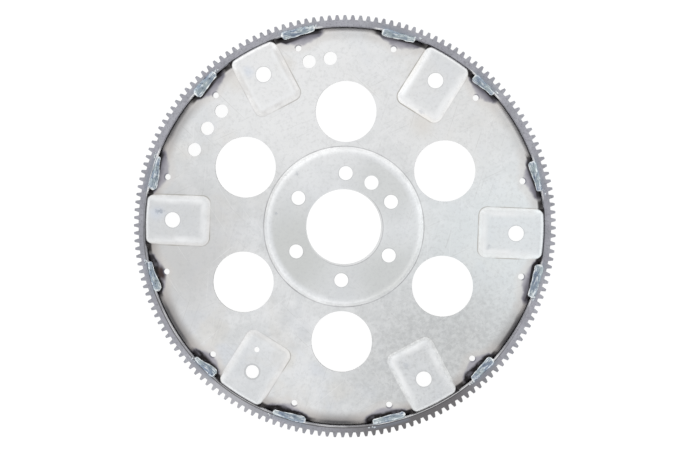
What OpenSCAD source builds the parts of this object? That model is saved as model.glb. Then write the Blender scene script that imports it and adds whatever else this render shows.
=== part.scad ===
// Flexplate: a pressed steel disc with a starter ring gear welded round it.
// It bolts to a crankshaft at its hub and carries a torque converter on its raised pads.
// The front, which faces the converter, is up. The origin is on the axis, where the
// hub's back seats on the crankshaft. All sizes are in millimetres and degrees.

/* [Sheet] */
// Thickness of the pressed sheet
sheet_t = 3; // [2.2:0.1:3.8]
// Outside radius of the bend from the web to the rim flange
rim_bend_r = 6.5; // [4:0.1:7.5]
// Height of the rim flange, from the front of the web to its back edge
flange_h = 9; // [8:0.1:14]

/* [Hub] */
// Diameter at the foot of the raised hub
hub_foot_d = 136; // [128:0.5:165]
// Height of the hub above the web
hub_rise = 4; // [3.5:0.1:7]
// Slope of the hub's wall
hub_slope = 42; // [38:1:60]
// Outside radius at the hub's crest
hub_crest_r = 6.5; // [3:0.1:6.8]
// Diameter of the pilot hole
pilot_d = 63.5; // [40:0.1:66]
// Width of the lead-in bevel round the pilot hole
pilot_bevel = 1; // [0.5:0.1:1.5]
// Distance that the bevel is cut off centre
pilot_bevel_shift = 0.9; // [0:0.1:1.4]

/* [Crankshaft holes] */
// Number of bolt holes in the hub
crank_holes = 6; // [4:1:8]
// Diameter of the bolt circle in the hub
crank_circle_d = 90.93; // [85:0.01:100]
// Diameter of each bolt hole in the hub
crank_hole_d = 11.9; // [9:0.1:14]
// Diameter of the circle that the dowel hole lies on
dowel_circle_d = 88.4; // [85:0.1:100]
// Diameter of the dowel hole
dowel_hole_d = 12; // [9:0.1:14]

/* [Web] */
// Diameter of each lightening hole
lightening_d = 51.9; // [40:0.1:62]
// Land between the hub's foot and a lightening hole
lightening_land = 3.9; // [2:0.1:12]
// Number of gauge holes round the rim
gauge_holes = 12; // [6:6:12]
// Diameter of each gauge hole
gauge_hole_d = 5; // [3:0.1:7]
// Distance from the ring gear's bore to the gauge holes
gauge_inset = 13.4; // [12:0.1:20]
// Diameter of each balance hole
balance_hole_d = 11.4; // [8:0.1:14]
// Distance from the ring gear's bore to the balance holes
balance_inset = 26.2; // [22:0.1:32]

/* [Converter pads] */
// Number of raised pads
pad_count = 6; // [3:1:6]
// Width of a pad at its foot
pad_w = 42.6; // [36:0.1:52]
// Length of a pad, from its foot to the rim
pad_len = 55.1; // [46:0.1:66]
// Height of a pad above the web
pad_rise = 3.2; // [2.8:0.1:4.5]
// Slope of a pad's sides
pad_slope = 37; // [34:1:48]
// Outside radius along a pad's crest
pad_crest_r = 7; // [5:0.1:7.5]
// Radius of a pad's inner corners, where its flat top ends
pad_top_corner_r = 0.4; // [0.2:0.1:8]
// Outside radius where a pad's top turns down at the rim
pad_end_r = 3.5; // [3:0.1:6]
// Diameter of the converter bolt hole in a pad
converter_hole_d = 13.2; // [9:0.1:15]
// Distance from the ring gear's bore to the converter bolt circle
converter_inset = 23.48; // [20:0.01:30]
// Diameter of the closer hole that locates the converter
locating_hole_d = 11.4; // [8:0.1:13]
// Pad that has the locating hole, counted anticlockwise from +X
locating_pad = 4; // [0:1:5]
// Diameter of the index hole beside the locating hole
index_hole_d = 4.6; // [3:0.1:6]
// Distance from the ring gear's bore to the index hole
index_inset = 41.5; // [36:0.1:46]
// Distance of the index hole from its pad's centre line
index_offset = 6.7; // [0:0.1:9]

/* [Ring gear] */
// Number of teeth
tooth_count = 168; // [132:1:202]
// Teeth for each inch of pitch diameter
diametral_pitch = 12; // [10:1:14]
// Diametral pitch that sets the stub teeth's height
stub_pitch = 14; // [12:1:16]
// Pressure angle of the teeth
pressure_angle = 14.5; // [14.5:0.5:25]
// Amount that a tooth is thinner than half of its pitch, which leaves backlash
tooth_thinning = 0.5; // [0:0.05:0.8]
// Radius that rounds the root between two teeth
tooth_root_r = 0.5; // [0.3:0.1:0.8]
// Width of the ring gear
ring_w = 10.5; // [9:0.1:14]
// Depth of metal between the tooth roots and the ring gear's bore
ring_wall = 6; // [4:0.1:8]
// Distance of the ring gear's front face behind the front of the web
ring_setback = 1; // [0:0.1:3]
// Radial clearance between the rim flange and the ring gear's bore
ring_fit = 0.05; // [0.02:0.01:0.1]
// Bevel of the ring gear's bore, which makes room for the welds
weld_prep = 1; // [0.6:0.1:2]
// Bevel on the front of the teeth
tooth_front_bevel = 0.4; // [0.2:0.1:1]
// Lead-in bevel on the back of the teeth, where the starter's pinion enters
tooth_back_bevel = 1.6; // [0.5:0.1:2.5]

/* [Welds] */
// Reach of a weld bead over the ring gear's face
weld_on_ring = 3.2; // [2:0.1:4]
// Reach of a weld bead over the plate, from the flange's outside
weld_on_plate = 5; // [4:0.1:6.5]
// Height of a weld bead's crown above the faces that it joins
weld_crown = 1.7; // [1:0.1:2.2]

/* [Hidden] */
$fn = 180;

// Clock angles, anticlockwise from +X, which is the middle of the first pad
crank_clock = 29.8;
dowel_clock = 59.8;
lightening_clock = 31.1;
gauge_clock = 16.5;
balance_clocks = [96.8, 104.1, 138.9, 146.5, 155];
tooth_clock = 1.9;
pilot_bevel_clock = -33;

// Each head welds every sixth bead: length along the rim, and gap from the nearest pad's side
weld_lengths = [27.2, 23.4, 29.9, 29.6, 25.7, 29.6];
weld_gaps = [12.4, 1.2, 8.8, 4.1, 11.8, 1.3];
welds_per_bay = 2;
weld_end_step = 0.02;
weld_end_overlap = 0.2;

inch = 25.4;
through = 1;
least_bend_r = 0.3;
bevel_depth_share = 0.6;
root_steps = [90, 45, 0];

// Arcs cross the flats that they join at this small angle
arc_crossing = 3;

pitch_r = tooth_count * inch / diametral_pitch / 2;
base_r = pitch_r * cos(pressure_angle);
tip_r = pitch_r + inch / stub_pitch;
root_r = pitch_r - 1.25 * inch / stub_pitch;
pitch_half = 90 / tooth_count - degrees_of(tooth_thinning / 2, pitch_r);
bore_r = root_r - ring_wall;
flange_r = bore_r - ring_fit;

hub_front = sheet_t;
web_front = hub_front - hub_rise;
pad_front = web_front + pad_rise;
flange_back = web_front - flange_h;
ring_front = web_front - ring_setback;
ring_back = ring_front - ring_w;

hub_foot_r = hub_foot_d / 2;
lightening_r = hub_foot_r + lightening_land + lightening_d / 2;
converter_r = bore_r - converter_inset;
gauge_r = bore_r - gauge_inset;
balance_r = bore_r - balance_inset;
index_r = bore_r - index_inset;
pad_corner_r = pad_top_corner_r + pad_rise / tan(pad_slope) + pad_crest_r * tan(pad_slope / 2);

weld_count = pad_count * welds_per_bay;
weld_root = ring_front - weld_prep;
pad_root_w = pad_w + 2 * (web_front - weld_root) / tan(pad_slope);
weld_inner = [flange_r - weld_on_plate, web_front];
weld_outer = [bore_r + weld_on_ring, ring_front];
weld_half_w = norm(weld_outer - weld_inner) / 2;
weld_up = [weld_inner[1] - weld_outer[1], weld_outer[0] - weld_inner[0]] / (2 * weld_half_w);
weld_r = (pow(weld_half_w, 2) + pow(weld_crown, 2)) / (2 * weld_crown);
weld_centre = (weld_inner + weld_outer) / 2 - weld_up * (weld_r - weld_crown);

plate_colour = [0.80, 0.80, 0.79];
ring_colour = [0.50, 0.49, 0.51];
weld_colour = [0.62, 0.65, 0.70];

function degrees_of(length, radius) = length / radius * 180 / PI;
function bend_at(radius, depth) = max(radius - depth, least_bend_r);
function weld_name(k) = str("weld_bead_", k < 9 ? "0" : "", k + 1);

// Region between a corner and the arc that rounds it, where the edges leave along u and v
module corner_relief(corner, u, v, radius) {
    half = acos(u * v) / 2;
    reach = radius / tan(half);
    half_chord = reach * sin(half);
    chord_depth = reach * cos(half);
    arc_r = half_chord / cos(half + arc_crossing);
    inward = (u + v) / norm(u + v);
    along = [-inward[1], inward[0]] * (half_chord + 0.3 * reach);
    outer = corner - inward * 0.2 * reach;
    inner = corner + inward * (chord_depth + 0.05 * reach);
    centre = corner + inward * (chord_depth + sqrt(pow(arc_r, 2) - pow(half_chord, 2)));
    difference() {
        polygon([outer - along, outer + along, inner + along, inner - along]);
        translate(centre) circle(arc_r);
    }
}

// Half section of a raised step: its foot is at x = foot, y = 0, and its slope runs on below
module step_section(foot, rise, slope, crest_r, foot_r, below) {
    downhill = [cos(slope), -sin(slope)];
    crest = [foot - rise / tan(slope), rise];
    difference() {
        union() {
            polygon([[0, -below], [foot + below / tan(slope), -below], crest, [0, rise]]);
            if (foot_r > 0) corner_relief([foot, 0], [1, 0], -downhill, foot_r);
        }
        corner_relief(crest, [-1, 0], downhill, crest_r);
    }
}

// Half section of a disc whose top edge is rounded
module disc_section(radius, bottom, top, edge_r) {
    difference() {
        translate([0, bottom]) square([radius, top - bottom]);
        corner_relief([radius, top], [-1, 0], [0, -1], edge_r);
    }
}

// Tongue raised from a flat: its foot starts at x = 0 and it runs outwards along +X
module raised_tongue(length, half_w, corner_r, rise, slope, crest_r, foot_r, below) {
    half_core = half_w - corner_r;
    module edge() {
        step_section(corner_r, rise, slope, crest_r, foot_r, below);
    }
    module side() {
        translate([half_core, 0]) edge();
    }
    translate([corner_r, 0, 0]) {
        rotate([90, 0, 90]) linear_extrude(length - corner_r) {
            side();
            mirror([1, 0]) side();
            translate([-half_core, -below]) square([2 * half_core, rise + below]);
        }
        translate([0, -half_core, 0]) rotate([90, 0, 180]) linear_extrude(2 * half_core) edge();
        for (hand = [-1, 1])
            translate([0, hand * half_core, 0])
                rotate(hand > 0 ? 90 : 180) rotate_extrude(angle = 90) edge();
    }
}

// One converter pad, up to the skin that lies the given depth under the front
module pad_form(depth) {
    shift = depth * tan(pad_slope / 2);
    foot_x = flange_r - pad_len + shift;
    intersection() {
        translate([foot_x, 0, web_front - depth])
            raised_tongue(pad_len + sheet_t, pad_w / 2 - shift, pad_corner_r - shift, pad_rise,
                pad_slope, bend_at(pad_crest_r, depth), depth, rim_bend_r);
        rotate_extrude()
            disc_section(flange_r - depth, flange_back - depth, pad_front - depth,
                bend_at(pad_end_r, depth));
    }
}

// The pressing as a solid, up to the skin that lies the given depth under the front
module press_form(depth) {
    web_z = web_front - depth;
    rotate_extrude() {
        disc_section(flange_r - depth, flange_back - depth, web_z, bend_at(rim_bend_r, depth));
        translate([0, web_z])
            step_section(hub_foot_r - depth * tan(hub_slope / 2), hub_rise, hub_slope,
                bend_at(hub_crest_r, depth), depth, sheet_t / 2);
    }
    for (k = [0 : pad_count - 1]) rotate(k * 360 / pad_count) pad_form(depth);
}

module hole(diameter, radius, clock) {
    rotate(clock) translate([radius, 0, flange_back - through])
        cylinder(d = diameter, h = hub_front - flange_back + 2 * through);
}

module hole_circle(diameter, radius, clock, count) {
    for (k = [0 : count - 1]) hole(diameter, radius, clock + k * 360 / count);
}

module pilot_hole() {
    wide_r = pilot_d / 2 + pilot_bevel;
    bevel_depth = bevel_depth_share * (pilot_bevel + pilot_bevel_shift);
    cone_r = wide_r - bevel_depth / bevel_depth_share;
    hole(pilot_d, 0, 0);
    rotate(pilot_bevel_clock) translate([pilot_bevel_shift, 0, hub_front - bevel_depth])
        cylinder(r1 = cone_r, r2 = wide_r + through / bevel_depth_share, h = bevel_depth + through);
}

module converter_holes() {
    for (k = [0 : pad_count - 1])
        hole(k == locating_pad ? locating_hole_d : converter_hole_d, converter_r,
            k * 360 / pad_count);
    rotate(locating_pad * 360 / pad_count) translate([0, -index_offset, 0])
        hole(index_hole_d, index_r, 0);
}

module plate() {
    color(plate_colour) difference() {
        press_form(0);
        press_form(sheet_t);
        pilot_hole();
        hole_circle(crank_hole_d, crank_circle_d / 2, crank_clock, crank_holes);
        hole(dowel_hole_d, dowel_circle_d / 2, dowel_clock);
        hole_circle(lightening_d, lightening_r, lightening_clock, pad_count);
        hole_circle(gauge_hole_d, gauge_r, gauge_clock, gauge_holes);
        for (clock = balance_clocks) hole(balance_hole_d, balance_r, clock);
        converter_holes();
    }
}

// Involute of an angle, and a tooth's half angle at a radius, in degrees
function involute(a) = tan(a) * 180 / PI - a;
function tooth_half(r) = pitch_half + involute(pressure_angle) - involute(acos(base_r / r));

// One side of a tooth, from the root up to the tip, as radius and half angle
function tooth_side() = concat(
    [for (a = root_steps) let (r = root_r + tooth_root_r)
        [r - tooth_root_r * sin(a), tooth_half(r) + degrees_of(tooth_root_r * (1 - cos(a)), root_r)]],
    [for (r = [pitch_r, tip_r]) [r, tooth_half(r)]]
);

function polar(r, a) = r * [cos(a), sin(a)];

module gear_outline() {
    side = tooth_side();
    last = len(side) - 1;
    polygon([for (k = [0 : tooth_count - 1]) let (mid = tooth_clock + k * 360 / tooth_count)
        each concat(
            [for (i = [0 : last]) polar(side[i][0], mid - side[i][1])],
            [for (i = [last : -1 : 0]) polar(side[i][0], mid + side[i][1])]
        )
    ]);
}

// Section of the ring gear's blank, with its bore bevelled and its tooth ends bevelled
module ring_section() {
    front_edge = [tip_r + through, ring_front - tooth_front_bevel - through];
    back_edge = [tip_r + through, ring_back + tooth_back_bevel + through];
    polygon([
        [bore_r, ring_back], [tip_r - tooth_back_bevel, ring_back], back_edge, front_edge,
        [tip_r - tooth_front_bevel, ring_front], [bore_r + weld_prep, ring_front],
        [bore_r, ring_front - weld_prep]
    ]);
}

module ring_gear() {
    color(ring_colour) intersection() {
        translate([0, 0, ring_back]) linear_extrude(ring_w) gear_outline();
        rotate_extrude() ring_section();
    }
}

// Half section of the metal that a weld bead lies on, lifted a little where asked
module weld_seat(lift) {
    translate([lift, lift]) disc_section(flange_r, flange_back, web_front, rim_bend_r);
    translate([-lift, lift]) ring_section();
    translate([0, ring_back]) square([tip_r, weld_root - ring_back + lift]);
}

// Round end of a weld bead towards +Y, a hair smaller than the run that it reaches into
module weld_end() {
    ball_r = weld_r - weld_end_step;
    difference() {
        translate([weld_centre[0], -weld_end_overlap, weld_centre[1]]) rotate_extrude(angle = 180)
            intersection() {
                circle(ball_r);
                translate([0, -ball_r]) square([ball_r, 2 * ball_r]);
            }
        rotate_extrude() weld_seat(weld_end_step);
    }
}

// Weld bead k, which fills the groove between the rolled rim and the bevelled bore
module weld_bead(k) {
    turn = k % len(weld_lengths);
    bay = floor(k / welds_per_bay) * 360 / pad_count;
    gap = asin(pad_root_w / 2 / flange_r) + degrees_of(weld_gaps[turn] + weld_half_w, flange_r);
    span = degrees_of(weld_lengths[turn] - 2 * weld_half_w, flange_r);
    start = k % welds_per_bay == 0 ? bay + gap : bay + 360 / pad_count - gap - span;
    color(weld_colour) rotate(start) {
        rotate_extrude(angle = span) difference() {
            translate(weld_centre) circle(weld_r);
            weld_seat(0);
        }
        rotate(span) weld_end();
        mirror([0, 1, 0]) weld_end();
    }
}

plate();
ring_gear();
for (k = [0 : weld_count - 1])
    weld_bead(k);
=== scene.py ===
"""Looks of the flexplate: worn bright steel with heat stains, a grey ring gear and twelve weld beads."""

import math
import random
from collections import namedtuple

import bpy
from mathutils import Matrix, Vector, noise


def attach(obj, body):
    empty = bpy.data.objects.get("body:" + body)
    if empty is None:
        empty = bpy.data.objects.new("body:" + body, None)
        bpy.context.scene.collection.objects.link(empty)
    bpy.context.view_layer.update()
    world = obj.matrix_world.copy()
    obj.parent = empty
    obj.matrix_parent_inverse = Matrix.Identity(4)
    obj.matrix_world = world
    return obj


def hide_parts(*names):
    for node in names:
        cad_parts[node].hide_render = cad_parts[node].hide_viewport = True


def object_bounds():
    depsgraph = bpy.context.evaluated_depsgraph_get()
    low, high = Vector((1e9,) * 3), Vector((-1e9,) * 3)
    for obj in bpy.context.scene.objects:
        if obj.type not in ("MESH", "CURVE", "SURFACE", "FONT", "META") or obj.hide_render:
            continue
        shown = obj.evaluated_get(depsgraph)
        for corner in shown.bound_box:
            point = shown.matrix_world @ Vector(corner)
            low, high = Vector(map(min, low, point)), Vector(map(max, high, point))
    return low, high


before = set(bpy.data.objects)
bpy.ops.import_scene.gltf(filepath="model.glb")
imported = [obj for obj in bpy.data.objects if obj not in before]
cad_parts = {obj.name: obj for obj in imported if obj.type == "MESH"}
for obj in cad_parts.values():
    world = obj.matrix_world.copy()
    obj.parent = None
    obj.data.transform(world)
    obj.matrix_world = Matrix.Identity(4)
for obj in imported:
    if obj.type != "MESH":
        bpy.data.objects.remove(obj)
cad_low, cad_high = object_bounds()

# Lengths are in metres, as in the frame. Materials and beads count in millimetres.
MM = 0.001

# The part, as the CAD has it, in millimetres from the axis or above the crankshaft seat
HUB_FOOT_R = 68.0
HUB_Z = 3.0
PILOT_BEVEL_R = 32.75
PILOT_BEVEL_X, PILOT_BEVEL_Y = 0.755, -0.49
CRANK_CIRCLE_R, CRANK_HOLE_R = 45.465, 5.95
CONVERTER_CIRCLE_R, CONVERTER_HOLE_R = 146.05, 6.6
PAD_FOOT_R = 114.38
PAD_HALF_W = 21.3
PAD_CORNER_R = 7.0
GAUGE_R = 156.13
WEB_Z = -1.0
BEND_START_R = 162.98
BEND_R = 6.5
BORE_R = 169.53
RING_FACE_Z = -2.0
WELD_ROOT_Z = -3.0
WELD_INNER_R = 164.5

# Where its pads and holes repeat, to half a degree
PAD_PITCH, PAD_CLOCK = math.radians(60), 0.0
CRANK_CLOCK = math.radians(30)
GAUGE_PITCH, GAUGE_CLOCK = math.radians(30), math.radians(16.5)

# Each bead in the photograph: its outer radius, and its inner radius at the wide start and the narrow end
BEAD_EDGES = (
    (171.2, 164.5, 165.8), (171.2, 164.3, 166.6), (171.2, 164.7, 166.0), (173.0, 165.8, 167.2),
    (173.3, 164.1, 166.7), (170.3, 162.9, 166.4), (171.4, 164.3, 166.2), (171.3, 163.2, 166.6),
    (171.4, 165.0, 166.2), (170.5, 164.6, 165.4), (171.8, 164.6, 166.4), (172.5, 165.0, 166.0),
)

# The photograph: how far the plate is turned clockwise in it, and where its camera stands
PHOTO_TURN = math.radians(2.2)
CAMERA_DISTANCE = 1.8
CAMERA_LEAN_RIGHT = math.radians(3.1)
CAMERA_LEAN_UP = math.radians(1.1)
VIEW_W = 0.5802
VIEW_CENTRE_RIGHT = -1.87 * MM
VIEW_CENTRE_UP = -0.76 * MM
SENSOR_W = 36.0
CLIP_NEAR, CLIP_FAR = 0.01, 100.0

photo_right = Vector((math.cos(PHOTO_TURN), math.sin(PHOTO_TURN), 0))
photo_up = Vector((-math.sin(PHOTO_TURN), math.cos(PHOTO_TURN), 0))


# Shader building


class Shader:
    """A node tree with short calls that add nodes and link them."""

    def __init__(self, tree):
        self.nodes = tree.nodes
        self.links = tree.links

    def put(self, socket, value):
        if isinstance(value, bpy.types.NodeSocket):
            self.links.new(value, socket)
        else:
            socket.default_value = value

    def node(self, kind, inputs=None, **settings):
        made = self.nodes.new(kind)
        for name, value in settings.items():
            setattr(made, name, value)
        for name, value in (inputs or {}).items():
            self.put(made.inputs[name], value)
        return made

    def math(self, operation, *values):
        made = self.node("ShaderNodeMath", operation=operation)
        for socket, value in zip(made.inputs, values):
            self.put(socket, value)
        return made.outputs[0]

    def chain(self, operation, values):
        total = values[0]
        for value in values[1:]:
            total = self.math(operation, total, value)
        return total

    def product(self, *values):
        return self.chain("MULTIPLY", values)

    def most(self, *values):
        return self.chain("MAXIMUM", values)

    def least(self, *values):
        return self.chain("MINIMUM", values)

    def plus(self, a, b):
        return self.math("ADD", a, b)

    def minus(self, a, b):
        return self.math("SUBTRACT", a, b)

    def size(self, value):
        return self.math("ABSOLUTE", value)

    def scaled(self, value, gain, base):
        """base plus gain times value."""
        return self.math("MULTIPLY_ADD", value, gain, base)

    def vector(self, operation, a, b=None):
        made = self.node("ShaderNodeVectorMath", operation=operation)
        self.put(made.inputs[0], a)
        if b is not None:
            self.put(made.inputs["Scale"] if operation == "SCALE" else made.inputs[1], b)
        return made.outputs["Value" if operation in ("LENGTH", "DOT_PRODUCT") else "Vector"]

    def split(self, vector):
        return self.node("ShaderNodeSeparateXYZ", {"Vector": vector}).outputs

    def join(self, x, y, z=0.0):
        return self.node("ShaderNodeCombineXYZ", {"X": x, "Y": y, "Z": z}).outputs[0]

    def length(self, x, y):
        return self.vector("LENGTH", self.join(x, y))

    def fade(self, value, start, end, low=0.0, high=1.0):
        """low where value is at start, high where it is at end, and a soft step between."""
        inputs = {"Value": value, "From Min": start, "From Max": end, "To Min": low, "To Max": high}
        return self.node("ShaderNodeMapRange", inputs, interpolation_type="SMOOTHSTEP").outputs[0]

    def band(self, value, start, full, falling, end):
        """1 where value is from full to falling, and 0 before start and past end."""
        return self.product(self.fade(value, start, full), self.fade(value, end, falling))

    def fine_line(self, value, at, half_w, core, high=1.0):
        """high within core of the place where value is at, and 0 past half_w from it."""
        return self.fade(self.size(self.minus(value, at)), half_w, core, high=high)

    def mix(self, factor, a, b):
        made = self.node("ShaderNodeMix", data_type="RGBA")
        for socket, value in zip((made.inputs[0], made.inputs[6], made.inputs[7]), (factor, a, b)):
            self.put(socket, value if isinstance(value, (float, bpy.types.NodeSocket)) else (*value, 1.0))
        return made.outputs[2]

    def grain(self, vector, scale, detail=3.0, roughness=0.55, distortion=0.0):
        """A noise of about 0 to 1, with features 1 / scale wide."""
        inputs = {"Vector": vector, "Scale": scale, "Detail": detail}
        inputs |= {"Roughness": roughness, "Distortion": distortion}
        return self.node("ShaderNodeTexNoise", inputs).outputs[0]

    def stretched(self, vector, turn, along, across):
        """vector turned about the axis by degrees and scaled, so that a noise in it runs in lines."""
        inputs = {"Vector": vector, "Rotation": (0, 0, math.radians(turn)), "Scale": (along, across, 1.0)}
        return self.node("ShaderNodeMapping", inputs, vector_type="TEXTURE").outputs[0]

    def bump(self, height, strength, distance, normal=None):
        made = self.node("ShaderNodeBump", {"Height": height, "Strength": strength, "Distance": distance})
        if normal is not None:
            self.put(made.inputs["Normal"], normal)
        return made.outputs[0]


def new_material(name):
    """A material, its Shader and its Principled node."""
    material = bpy.data.materials.new(name)
    material.use_nodes = True
    return material, Shader(material.node_tree), material.node_tree.nodes["Principled BSDF"]


# A soft round mark: its centre, where it has faded out, where it is full, and its strength there
Spot = namedtuple("Spot", "x y reach core strength")

# A side of the part: its direction, and how far that way its marks start and are full
Side = namedtuple("Side", "direction start full")


class Place:
    """Where a point of the part is, in millimetres: x, y, z, and the radius and angle about the axis."""

    def __init__(self, sh):
        self.sh = sh
        self.at = sh.vector("SCALE", sh.node("ShaderNodeTexCoord").outputs["Object"], 1 / MM)
        self.x, self.y, self.z = sh.split(self.at)
        self.radius = sh.length(self.x, self.y)
        self.angle = sh.math("ARCTAN2", self.y, self.x)

    def distance_to(self, x, y):
        return self.sh.length(self.sh.minus(self.x, x), self.sh.minus(self.y, y))

    def on_side(self, side):
        """0 before the side's start, and 1 past the place where it is full."""
        reached = self.sh.vector("DOT_PRODUCT", self.at, side.direction)
        return self.sh.fade(reached, side.start, side.full)

    def folded(self, pitch, clock):
        """Angle from the nearest of the places that repeat every pitch from clock."""
        past = self.sh.minus(self.angle, clock - pitch / 2)
        return self.sh.minus(self.sh.math("FLOORED_MODULO", past, pitch), pitch / 2)

    def within(self, spot, wander=0.0):
        """The spot's strength at its core, and 0 past its reach. wander moves its edge."""
        distance = self.sh.plus(self.distance_to(spot.x, spot.y), wander)
        return self.sh.fade(distance, spot.reach, spot.core, high=spot.strength)

    def worn_at(self, spot):
        """The spot's strength at its core, and 1 past its reach."""
        return self.sh.fade(self.distance_to(spot.x, spot.y), spot.core, spot.reach, low=spot.strength)


# Welds


class WeldArc:
    """Where a weld bead shows, measured on its CAD node: angles in radians, top in millimetres."""

    def __init__(self, node):
        points = [v.co for v in node.data.vertices if v.co.z / MM > RING_FACE_Z]
        middle = sum((Vector((p.x, p.y)).normalized() for p in points), Vector((0, 0)))
        self.centre = math.atan2(middle.y, middle.x)
        turns = [(math.atan2(p.y, p.x) - self.centre + math.pi) % math.tau - math.pi for p in points]
        self.centre += (min(turns) + max(turns)) / 2
        self.half = (max(turns) - min(turns)) / 2
        self.top = max(p.z for p in points) / MM


weld_names = sorted(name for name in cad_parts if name.startswith("weld_bead"))
weld_arcs = {name: WeldArc(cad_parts[name]) for name in weld_names}


def beside_weld(place):
    """Millimetres along the rim from the middle of the nearest weld, anticlockwise, and half its length.
    The second half turn of welds repeats the first."""
    sh = place.sh
    angle = sh.math("FLOORED_MODULO", place.angle, math.pi)
    far_off = 10.0
    nearest, half = far_off, 0.0
    for arc in list(weld_arcs.values())[: len(weld_arcs) // 2]:
        off = sh.minus(angle, arc.centre % math.pi)
        closer = sh.math("LESS_THAN", sh.size(off), sh.size(nearest))
        nearest = sh.scaled(closer, sh.minus(off, nearest), nearest)
        half = sh.scaled(closer, sh.minus(arc.half, half), half)
    return sh.product(nearest, place.radius), sh.product(half, place.radius)


def soft_step(start, end, value):
    t = min(max((value - start) / (end - start), 0.0), 1.0)
    return t * t * (3 - 2 * t)


class Bead:
    """A teardrop of weld metal along an arc: a wide blunt start, and a narrow end that sinks away."""

    MIDDLE_R = 168.8
    ROWS, STEPS = 130, 22
    START_ROUND, END_ROUND = 3.4, 2.2
    LEAST_WIDTH = 0.08
    TAPER_FROM, TAPER_TO = (0.10, 0.40), 0.95
    BULGE, BULGE_AT, BULGE_REACH = (0.1, 0.8), 4.5, 4.5
    INNER_WAVER, OUTER_WAVER, CROWN_WAVER = 0.55, 0.45, 0.35
    INNER_ROW, OUTER_ROW, CROWN_ROW, LUMP_ROW, STREAK_ROW = 2.0, 5.0, 8.0, 3.0, 7.0
    WAVER_SCALE = 0.19
    CROWN, CROWN_AT_ENDS = 1.25, 0.35
    INNER_CURVE, OUTER_CURVE = (4.5, 0.6), (2.2, 0.9)
    STREAK, STREAK_ALONG, STREAK_SLANT, STREAK_ACROSS = 0.16, 0.10, 0.6, 3.2
    LUMP, LUMP_ALONG, LUMP_ACROSS = 0.20, 0.35, 0.9
    INNER_SINK, OUTER_SINK = 0.10, 0.05
    ROOT_INSET, INNER_ROOT_SINK, OUTER_ROOT_SINK = 0.3, 0.4, 0.2
    NOISE_SPAN = 90
    DROPS, DROP_RUN = (3, 5), (-2.5, 3.5)
    DROP_R, DROP_SIZE = (171.3, 172.9), (0.4, 1.1)
    DROP_SINK, DROP_WIDTH, DROP_HEIGHT = 0.15, 0.8, 0.75
    DROP_SIDES, DROP_LEVELS = 14, 5

    def __init__(self, arc, seed):
        self.arc = arc
        self.rng = random.Random(seed)
        self.shift = Vector([self.rng.uniform(0, self.NOISE_SPAN) for _ in range(3)])
        self.length = 2 * arc.half * self.MIDDLE_R
        self.outer, self.inner_start, self.inner_end = BEAD_EDGES[seed]
        self.taper_from = self.rng.uniform(*self.TAPER_FROM)
        self.bulge = self.rng.uniform(*self.BULGE)
        self.points, self.faces, self.places = [], [], []

    def noise_at(self, x, y, z):
        return noise.noise(Vector((x, y, z)) + self.shift)

    def waver(self, run, row, reach):
        return reach * self.noise_at(run * self.WAVER_SCALE, row, 0.0)

    def edges(self, run):
        """Radii of the inner and the outer edge at a run from the start, and how full the width is there."""
        tapered = soft_step(self.taper_from, self.TAPER_TO, run / self.length)
        inner = self.inner_start + (self.inner_end - self.inner_start) * tapered
        inner += self.waver(run, self.INNER_ROW, self.INNER_WAVER)
        bulge = self.bulge * math.exp(-((run - self.BULGE_AT) / self.BULGE_REACH) ** 2)
        outer = self.outer + bulge + self.waver(run, self.OUTER_ROW, self.OUTER_WAVER)
        blunt_start = max(1 - run / self.START_ROUND, 0.0)
        blunt_end = max(1 - (self.length - run) / self.END_ROUND, 0.0)
        full = math.sqrt(max(1 - max(blunt_start, blunt_end) ** 2, 0.0))
        middle, half = (inner + outer) / 2, (outer - inner) / 2 * max(full, self.LEAST_WIDTH)
        return middle - half, middle + half, full

    def seat(self, radius):
        """Height of the rolled rim or the ring gear's face under a radius."""
        if radius > BORE_R:
            return min(WELD_ROOT_Z + radius - BORE_R, RING_FACE_Z)
        into = min(max(radius - BEND_START_R, 0.0), BEND_R)
        return max(WEB_Z - BEND_R + math.sqrt(BEND_R ** 2 - into ** 2), WELD_ROOT_Z)

    def shoulder(self, t):
        """Share of the crown at a place from -1, the inner edge, to 1, the outer edge: steeper inside."""
        power, root = self.INNER_CURVE if t < 0 else self.OUTER_CURVE
        return (1 - abs(t) ** power) ** root

    def section(self, run):
        """The outline across the bead at a run from the start: radius, height and share of the width."""
        inner, outer, full = self.edges(run)
        low, high = self.seat(inner) - self.INNER_SINK, self.seat(outer) - self.OUTER_SINK
        crown = self.CROWN + self.waver(run, self.CROWN_ROW, self.CROWN_WAVER)
        crown *= self.CROWN_AT_ENDS + (1 - self.CROWN_AT_ENDS) * full
        ring = []
        for i in range(self.STEPS + 1):
            t = -math.cos(math.pi * i / self.STEPS)
            slanted = run * self.STREAK_ALONG + t * self.STREAK_SLANT
            streak = self.noise_at(slanted, t * self.STREAK_ACROSS, self.STREAK_ROW)
            lump = self.noise_at(run * self.LUMP_ALONG, t * self.LUMP_ACROSS, self.LUMP_ROW)
            rough = (self.STREAK * streak + self.LUMP * lump) * full
            radius = (inner + outer) / 2 + (outer - inner) / 2 * t
            z = low + (high - low) * (t + 1) / 2 + (crown + rough) * self.shoulder(t)
            ring.append((radius, min(z, self.arc.top), (t + 1) / 2))
        ring.append((outer - self.ROOT_INSET, WELD_ROOT_Z - self.OUTER_ROOT_SINK, 1.0))
        ring.append((inner + self.ROOT_INSET, min(low, WELD_ROOT_Z) - self.INNER_ROOT_SINK, 0.0))
        return ring

    def add(self, run, radius, z, along, across):
        angle = self.arc.centre + self.arc.half - run / self.MIDDLE_R
        self.points.append((radius * math.cos(angle) * MM, radius * math.sin(angle) * MM, z * MM))
        self.places.append((along, across))

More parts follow.
